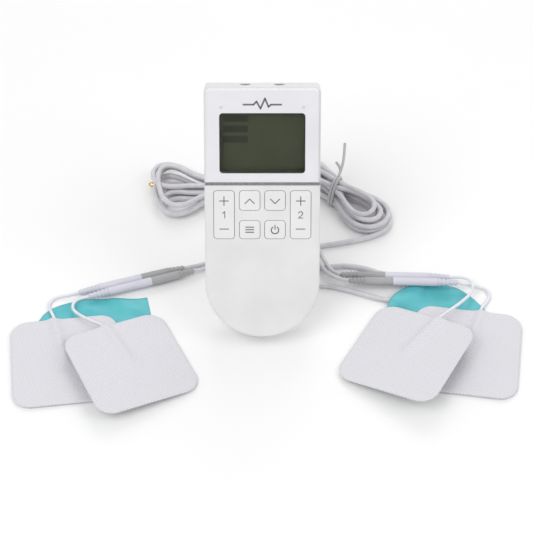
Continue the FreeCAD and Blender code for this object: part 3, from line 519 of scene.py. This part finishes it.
def all_materials():
    """Every material by its name, which for a CAD node is its material slot."""
    made = {
        "window_clear": window_plastic(),
        "lcd_glass": crystal_panel(),
        "board_green": board_laminate(),
        "pad_fabric": pad_fabric(),
        "gel_clear": hydrogel(),
        "film_teal": liner_film(),
        "floor_paper": floor_paper(),
    }
    for name, look in PLASTICS.items():
        made[name] = moulded_plastic(name, *look)
    for name, look in METALS.items():
        made[name] = metal(name, *look)
    for name, look in VINYLS.items():
        made[name] = cord_vinyl(name, *look)
    return made


MATERIALS = all_materials()


def paint_cad_nodes():
    for part in frame["record"]["subparts"]:
        shown = frame["nodes"][part["node"]]
        for held in shown.material_slots:
            held.material = MATERIALS[part["material_slot"]]


# ---------- mesh helpers ----------
def mesh_piece(name, material, vertices, faces, smooth=True):
    mesh = bpy.data.meshes.new(name)
    mesh.from_pydata([tuple(v) for v in vertices], [], faces)
    mesh.validate()
    mesh.polygons.foreach_set("use_smooth", [smooth] * len(mesh.polygons))
    mesh.materials.append(MATERIALS[material])
    obj = bpy.data.objects.new(name, mesh)
    bpy.context.scene.collection.objects.link(obj)
    return obj


def two_sheets(columns, rows):
    """Faces between two grids of points, the first one's points coming first, joined round the rim."""
    row = columns + 1
    sheet = row * (rows + 1)
    faces = []
    for j in range(rows):
        for i in range(columns):
            a = j * row + i
            faces.append((a, a + row, a + row + 1, a + 1))
            b = sheet + a
            faces.append((b, b + 1, b + row + 1, b + row))
    rim = [i for i in range(columns)]
    rim += [j * row + columns for j in range(rows)]
    rim += [rows * row + columns - i for i in range(columns)]
    rim += [(rows - j) * row for j in range(rows)]
    for a, b in zip(rim, rim[1:] + rim[:1]):
        faces.append((a, b, sheet + b, sheet + a))
    return faces


# ---------- cords ----------
def new_curve(name, diameter, bevel_resolution):
    curve = bpy.data.curves.new(name, "CURVE")
    curve.dimensions = "3D"
    curve.bevel_depth = diameter / 2
    curve.bevel_resolution = bevel_resolution
    curve.resolution_u = 8
    curve.use_fill_caps = True
    return curve


def add_spline(curve, points, closed=False):
    spline = curve.splines.new("NURBS")
    spline.points.add(len(points) - 1)
    for held, point in zip(spline.points, points):
        held.co = (*point, 1)
    spline.order_u = 3
    spline.use_cyclic_u = closed
    spline.use_endpoint_u = not closed


def curve_piece(curve, material):
    curve.materials.append(MATERIALS[material])
    obj = bpy.data.objects.new(curve.name, curve)
    bpy.context.scene.collection.objects.link(obj)
    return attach(obj, "kit")


def cord_curve(name, points, diameter, material):
    curve = new_curve(name, diameter, 5)
    add_spline(curve, points)
    return curve_piece(curve, material)


def pad_place(name):
    """From a pad's own axes, with z up from its underside, to the model's frame."""
    cx, cy, turn, tilt = PADS[name]
    lift = PAD_LIFT + PAD_HALF * math.sin(math.radians(abs(tilt)))
    return (Matrix.Translation((cx, cy, lift)) @ Matrix.Rotation(math.radians(turn), 4, "Z")
            @ Matrix.Rotation(math.radians(-tilt), 4, "Y"))


def channel_x(name):
    """How far from a pad's middle line its pigtail enters, in the pad's own axes."""
    return (pad_place(name).inverted() @ Vector(PIGTAILS[name][-1])).x


def pigtails():
    for name, points in PIGTAILS.items():
        place = pad_place(name)
        x = channel_x(name)
        inside = [tuple(place @ Vector((x * depth / CHANNEL_DEPTHS[0], depth, GEL + PIGTAIL_ABOVE_GEL)))
                  for depth in CHANNEL_DEPTHS]
        route = (points + inside)[::-1]
        piece = cord_curve("cord_pigtail_" + name, route, PIGTAIL_D, "pigtail_white")
        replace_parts(piece, "pigtail_" + name)


def legs():
    for name, route in LEGS.items():
        piece = cord_curve("cord_leg_" + name, route, LEG_D, "lead_grey")
        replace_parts(piece, "leg_" + name)


def lane(name, spread, z):
    """One pass of the bundle, from its left end to the tie."""
    stations, slot = LANES[name]
    points = [(x, y + spread * shift, z) for x, y, shift in stations]
    points.append((TIE[0] + slot * TIE_ACROSS[0], TIE[1] + slot * TIE_ACROSS[1], z))
    return points


def lobe(name, spread, z):
    """The left end of a loop."""
    return [(x + spread * dx, y + spread * dy, z) for x, y, dx, dy in LOBES[name]]


def fan(name, growth, z_start, z_end):
    """The right end of a loop, grown about the middle of the fan."""
    stations = FANS[name]
    last = len(stations) - 1
    return [(FAN_MIDDLE[0] + (x - FAN_MIDDLE[0]) * growth,
             FAN_MIDDLE[1] + (y - FAN_MIDDLE[1]) * growth,
             z_start + (z_end - z_start) * i / last) for i, (x, y) in enumerate(stations)]


def wound(turns):
    """Loops of a lead that has just passed the right end of the hank, heading left."""
    points = []
    for side, spread, level, fan_name, growth, next_level in turns:
        points += lane(ROUND[side][0], spread, level)[::-1]
        points += lobe(side, spread, level)
        points += lane(ROUND[side][1], spread, level)
        points += fan(fan_name, growth, level, next_level)
    return points


def trunks():
    routes = {
        "left": TRUNK_LEFT_START + fan(*FIRST_FAN)[1:] + wound(LEFT_TURNS) + TRUNK_LEFT_END,
        "right": TRUNK_RIGHT_START + wound(RIGHT_TURNS) + TRUNK_RIGHT_END,
    }
    for name, route in routes.items():
        piece = cord_curve("cord_trunk_" + name, route, TRUNK_D, "lead_grey")
        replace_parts(piece, "trunk_" + name, "lead_hank")


def twist_tie():
    """Paper-and-wire tie: a band round the bundle, twisted ends, one standing up."""
    across = Vector((TIE_ACROSS[0], TIE_ACROSS[1], 0))
    along = Vector((TIE_ACROSS[1], -TIE_ACROSS[0], 0))
    middle = Vector((TIE[0], TIE[1], 0))
    curve = new_curve("twist_tie", TIE_WIRE_D, 4)
    for offset in (-TIE_HALF_GAP, TIE_HALF_GAP):
        add_spline(curve, [middle + across * s + along * offset + Vector((0, 0, z)) for s, z in TIE_RING],
                   closed=True)
    knot = [middle + across * TIE_KNOT_START[0] + Vector((0, 0, TIE_KNOT_START[1]))] + TIE_KNOT
    add_spline(curve, knot + TIE_LONG_END)
    add_spline(curve, knot + TIE_SHORT_END)
    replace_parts(curve_piece(curve, "tie_white"), "hank_tie")


# ---------- pads ----------
def smooth_step(low, high, value):
    t = min(max((value - low) / (high - low), 0.0), 1.0)
    return t * t * (3 - 2 * t)


def rounded_distance(x, y, half, corner):
    """Distance inside a rounded square's edge."""
    dx = max(abs(x) - (half - corner), 0.0)
    dy = max(abs(y) - (half - corner), 0.0)
    if dx == 0.0 and dy == 0.0:
        return corner + min(half - corner - abs(x), half - corner - abs(y))
    return corner - math.hypot(dx, dy)


def edge_distance(direction, half, corner):
    """How far the rounded square's edge is from its middle in a direction, found by halving."""
    low = 0.0
    high = 2 * half
    for _ in range(HALVINGS):
        middle = (low + high) / 2
        if rounded_distance(direction[0] * middle, direction[1] * middle, half, corner) > 0:
            low = middle
        else:
            high = middle
    return low


def square_to_rounded(u, v, half, corner):
    """A point of the square grid moved so that the grid's rim follows the rounded square."""
    share = max(abs(u), abs(v))
    if share < 1e-9:
        return 0.0, 0.0
    length = math.hypot(u * half, v * half)
    direction = (u * half / length, v * half / length)
    edge = edge_distance(direction, half, corner)
    blend = share ** 4
    reach = min(share * edge * blend + length * (1 - blend), edge * share ** 0.2)
    return direction[0] * reach, direction[1] * reach


def slab(name, material, half, corner, bottom, top, raise_at, cells):
    """Thin rounded square: a grid for each face, joined round the rim."""
    vertices = []
    for face in (0, 1):
        for j in range(cells + 1):
            for i in range(cells + 1):
                x, y = square_to_rounded(2 * i / cells - 1, 2 * j / cells - 1, half, corner)
                inside = rounded_distance(x, y, half, corner)
                round_off = 1 - min(max(inside, 0.0) / RIM_ROUND, 1.0)
                shrink = RIM_DROP * (top - bottom) * round_off ** 2
                z = top - shrink + raise_at(x, y) if face else bottom + shrink
                vertices.append(Vector((x, y, z)))
    return mesh_piece(name, material, vertices, two_sheets(cells, cells))


def pads():
    for name in PADS:
        entry = channel_x(name)

        def channel(x, y):
            """Height of the fabric over the pigtail, fading out near the pad's middle."""
            centre = entry * y / CHANNEL_DEPTHS[0]
            ridge = math.exp(-((x - centre) / CHANNEL_WIDTH) ** 2)
            return CHANNEL_HEIGHT * ridge * smooth_step(*CHANNEL_FADE, y)

        backing = slab("backing_" + name, "pad_fabric", PAD_HALF, PAD_CORNER,
                       GEL, GEL + FABRIC, channel, PAD_CELLS)
        backing.matrix_world = pad_place(name)
        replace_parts(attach(backing, "kit"), "pad_" + name)
        gel = slab("gel_" + name, "gel_clear", PAD_HALF - GEL_INSET, PAD_CORNER - GEL_INSET,
                   0.0, GEL, lambda x, y: 0.0, GEL_CELLS)
        gel.matrix_world = pad_place(name)
        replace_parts(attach(gel, "kit"), "pad_gels")


# ---------- liners ----------
def smooth_line(points, count):
    """count + 1 points along a smooth line through the given ones."""
    ends = [points[0]] + list(points) + [points[-1]]
    result = []
    for i in range(count + 1):
        t = i / count * (len(points) - 1)
        k = min(int(t), len(points) - 2)
        f = t - k
        a, b, c, d = (Vector(ends[k + n]) for n in range(4))
        result.append(0.5 * (2 * b + (c - a) * f + (2 * a - 5 * b + 4 * c - d) * f ** 2
                             + (3 * b - a - 3 * c + d) * f ** 3))
    return result


def fold(wave, x, y):
    """A soft fold, from 0 to 1."""
    return 0.5 + 0.5 * math.sin(x * wave[0] + y * wave[1] + wave[2])


def left_film_height(x, y):
    """Soft folds in the part that shows; flat where a pad or a pigtail lies on it."""
    open_part = smooth_step(*LEFT_FOLD_X, x) * smooth_step(*LEFT_FOLD_Y, y)
    return LEFT_FOLD_HEIGHT * open_part * fold(LEFT_FOLD_WAVE, x, y)


def right_film_height(x, y):
    """Soft folds, and a hump over the loop of lead under the film."""
    open_part = smooth_step(*RIGHT_FOLD_Y, y) * (1 - smooth_step(*RIGHT_FOLD_X, x))
    folds = RIGHT_FOLD_HEIGHT * open_part * fold(RIGHT_FOLD_WAVE, x, y)
    away = math.hypot(x - CORD_LOOP[0], y - CORD_LOOP[1])
    hump = HUMP_HEIGHT * (1 - smooth_step(HUMP_TOP_RADIUS, HUMP_FOOT_RADIUS, away))
    return max(hump, folds) * smooth_step(*RIGHT_FLAT_Y, y)


def film(name, height):
    near, far = FILMS[name]
    top = smooth_line(near, FILM_COLUMNS)
    bottom = [Vector(far[0]).lerp(Vector(far[1]), i / FILM_COLUMNS) for i in range(FILM_COLUMNS + 1)]
    vertices = []
    for side in (0.5, -0.5):
        for j in range(FILM_ROWS + 1):
            for i in range(FILM_COLUMNS + 1):
                p = top[i].lerp(bottom[i], j / FILM_ROWS)
                z = FILM_FLAT + height(p.x, p.y) + side * FILM_THICK
                vertices.append(Vector((p.x, p.y, z)))
    obj = mesh_piece("liner_" + name.split("_")[-1], "film_teal", vertices,
                     two_sheets(FILM_COLUMNS, FILM_ROWS))
    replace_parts(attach(obj, "kit"), name)


# ---------- print and display ----------
def stroke_shapes(paths, width, low, high):
    """Flat round-ended strokes of printed or raised line work, in the handset's axes."""
    vertices = []
    faces = []

    def prism(ring):
        start = len(vertices)
        count = len(ring)
        vertices.extend(HANDSET @ Vector((x, y, low)) for x, y in ring)
        vertices.extend(HANDSET @ Vector((x, y, high)) for x, y in ring)
        faces.append([start + i for i in range(count)][::-1])
        faces.append([start + count + i for i in range(count)])
        for i in range(count):
            j = (i + 1) % count
            faces.append([start + i, start + j, start + count + j, start + count + i])

    for path in paths:
        for a, b in zip(path, path[1:]):
            angle = math.atan2(b[1] - a[1], b[0] - a[0])
            ring = []
            for end, turn in ((b, angle - math.pi / 2), (a, angle + math.pi / 2)):
                for step in range(CORNER_STEPS + 1):
                    direction = turn + math.pi * step / CORNER_STEPS
                    ring.append((end[0] + width / 2 * math.cos(direction),
                                 end[1] + width / 2 * math.sin(direction)))
            prism(ring)
    return vertices, faces


def printed(name, body, paths, width, face=KEYPAD_FACE, material="print_grey", height=PRINT_HEIGHT):
    vertices, faces = stroke_shapes(paths, width, face - height, face + height)
    obj = mesh_piece(name, material, vertices, faces, smooth=False)
    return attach(obj, body)


def arc(cx, cy, radius, start, end, steps):
    """Points round an arc, from and to these angles in degrees."""
    return [(cx + radius * math.cos(math.radians(start + (end - start) * i / steps)),
             cy + radius * math.sin(math.radians(start + (end - start) * i / steps)))
            for i in range(steps + 1)]


def figure_one(x):
    stem = x + ONE_STEM_X
    return [(stem - DIGIT_FLAG[0], DIGIT_TOP - DIGIT_FLAG[1]), (stem, DIGIT_TOP), (stem, DIGIT_FOOT)]


def figure_two(x):
    bowl = arc(x, TWO_BOWL_Y, TWO_RADIUS, *TWO_ARC, 10)
    return bowl + [(x - TWO_RADIUS, DIGIT_FOOT), (x + TWO_FOOT_X, DIGIT_FOOT)]


def rocker_print():
    for digit, x, figure in (("1", -ROCKER_X, figure_one), ("2", ROCKER_X, figure_two)):
        rocker = "rocker_ch" + digit
        plus = [[(x - SIGN_ARM, PLUS_Y), (x + SIGN_ARM, PLUS_Y)],
                [(x, PLUS_Y - SIGN_ARM), (x, PLUS_Y + SIGN_ARM)]]
        minus = [[(x - SIGN_ARM, MINUS_Y), (x + SIGN_ARM, MINUS_Y)]]
        printed("print_plus_" + digit, rocker, plus, SIGN_STROKE)
        printed("print_minus_" + digit, rocker, minus, SIGN_STROKE)
        printed("print_channel_" + digit, rocker, [figure(x)], DIGIT_STROKE)


def chevron(x, foot, tip):
    return [(x - CHEVRON_HALF_W, foot), (x, tip), (x + CHEVRON_HALF_W, foot)]


def key_print():
    printed("print_up", "key_up", [chevron(-KEY_X, CHEVRON_LOW, CHEVRON_HIGH)], SIGN_STROKE)
    printed("print_down", "key_down", [chevron(KEY_X, CHEVRON_HIGH, CHEVRON_LOW)], SIGN_STROKE)
    bars = [[(-KEY_X - BAR_HALF, y), (-KEY_X + BAR_HALF, y)] for y in BAR_ROWS]
    printed("print_mode", "key_mode", bars, BAR_STROKE)
    power = [arc(KEY_X, POWER_Y, POWER_RADIUS, *POWER_ARC, 28),
             [(KEY_X, POWER_LINE[0]), (KEY_X, POWER_LINE[1])]]
    printed("print_power", "key_power", power, SIGN_STROKE)


def bezel_print():
    printed("print_pulse", "kit", [PULSE], PULSE_STROKE, BEZEL_FACE)
    for name, x in (("left", -DOT_X), ("right", DOT_X)):
        dot = [[(x - DOT_HALF_LINE, DOT_Y), (x + DOT_HALF_LINE, DOT_Y)]]
        printed("print_dot_" + name, "kit", dot, DOT_STROKE, BEZEL_FACE, "print_light", DOT_HEIGHT)


def segment_bars():
    """The three dark bars on the display."""
    faces = [(3, 2, 1, 0), (4, 5, 6, 7), (0, 1, 5, 4), (1, 2, 6, 5), (2, 3, 7, 6), (3, 0, 4, 7)]
    for index, (low, high) in enumerate(SEGMENT_ROWS):
        corners = [(SEGMENT_LEFT, low), (SEGMENT_RIGHT, low), (SEGMENT_RIGHT, high), (SEGMENT_LEFT, high)]
        vertices = [HANDSET @ Vector((x, y, PANEL_FACE + z))
                    for z in (-SEGMENT_HALF_THICK, SEGMENT_HALF_THICK) for x, y in corners]
        bar = mesh_piece("segment_bar_%d" % (index + 1), "segment_dark", vertices, faces, smooth=False)
        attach(bar, "kit")


def window_loop(inset):
    """The display window's outline, this far inside its edge."""
    loop = []
    radius = LCD_CORNER - inset
    for cx, cy, start in ((1, 1, 0), (-1, 1, 90), (-1, -1, 180), (1, -1, 270)):
        for i in range(CORNER_STEPS + 1):
            angle = math.radians(start + 90 * i / CORNER_STEPS)
            loop.append((cx * (LCD_HALF_W - LCD_CORNER) + radius * math.cos(angle),
                         LCD_MIDDLE + cy * (LCD_HALF_H - LCD_CORNER) + radius * math.sin(angle)))
    return loop


def window_border():
    rim = [window_loop(0.0), window_loop(BORDER_WIDTH)]
    count = len(rim[0])
    vertices = []
    for z in (GLASS_BACK - BORDER_BACK, GLASS_BACK - BORDER_FRONT):
        for loop in rim:
            vertices += [HANDSET @ Vector((x, y, z)) for x, y in loop]
    faces = []
    up = 2 * count
    for outer in range(count):
        outer_next = (outer + 1) % count
        inner = count + outer
        inner_next = count + outer_next
        faces.append((outer, inner, inner_next, outer_next))
        faces.append((outer + up, outer_next + up, inner_next + up, inner + up))
        faces.append((outer, outer_next, outer_next + up, outer + up))
        faces.append((inner, inner + up, inner_next + up, inner_next))
    border = mesh_piece("window_border", "frame_plastic", vertices, faces, smooth=False)
    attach(border, "kit")


# ---------- studio ----------
def floor():
    corners = [(-FLOOR_HALF, -FLOOR_HALF, 0), (FLOOR_HALF, -FLOOR_HALF, 0),
               (FLOOR_HALF, FLOOR_HALF, 0), (-FLOOR_HALF, FLOOR_HALF, 0)]
    mesh_piece("floor", "floor_paper", corners, [(0, 1, 2, 3)])


def lights():
    world = bpy.data.worlds.new("studio")
    world.use_nodes = True
    world.node_tree.nodes["Background"].inputs["Color"].default_value = (1, 1, 1, 1)
    world.node_tree.nodes["Background"].inputs["Strength"].default_value = WORLD_STRENGTH
    bpy.context.scene.world = world
    for name, (place, size, energy) in LIGHTS.items():
        data = bpy.data.lights.new(name, "AREA")
        data.shape = "DISK"
        data.size = size
        data.energy = energy
        lamp = bpy.data.objects.new(name, data)
        lamp.location = place
        lamp.rotation_euler = (Vector(LIGHT_TARGET) - Vector(place)).to_track_quat("-Z", "Y").to_euler()
        bpy.context.scene.collection.objects.link(lamp)


def camera():
    data = bpy.data.cameras.new("camera")
    data.lens = CAMERA_LENS
    data.sensor_width = CAMERA_SENSOR
    obj = bpy.data.objects.new("camera", data)
    elevation = math.radians(CAMERA_ELEVATION)
    obj.location = (0, CAMERA_TARGET_Y - CAMERA_DISTANCE * math.cos(elevation),
                    CAMERA_DISTANCE * math.sin(elevation))
    obj.rotation_euler = (math.pi / 2 - elevation, 0, 0)
    bpy.context.scene.collection.objects.link(obj)
    bpy.context.scene.camera = obj
    bpy.context.scene.view_settings.view_transform = "Standard"


floor()
lights()
camera()
paint_cad_nodes()
pigtails()
legs()
trunks()
twist_tie()
pads()
film("release_film_left", left_film_height)
film("release_film_right", right_film_height)
rocker_print()
key_print()
bezel_print()
segment_bars()
window_border()
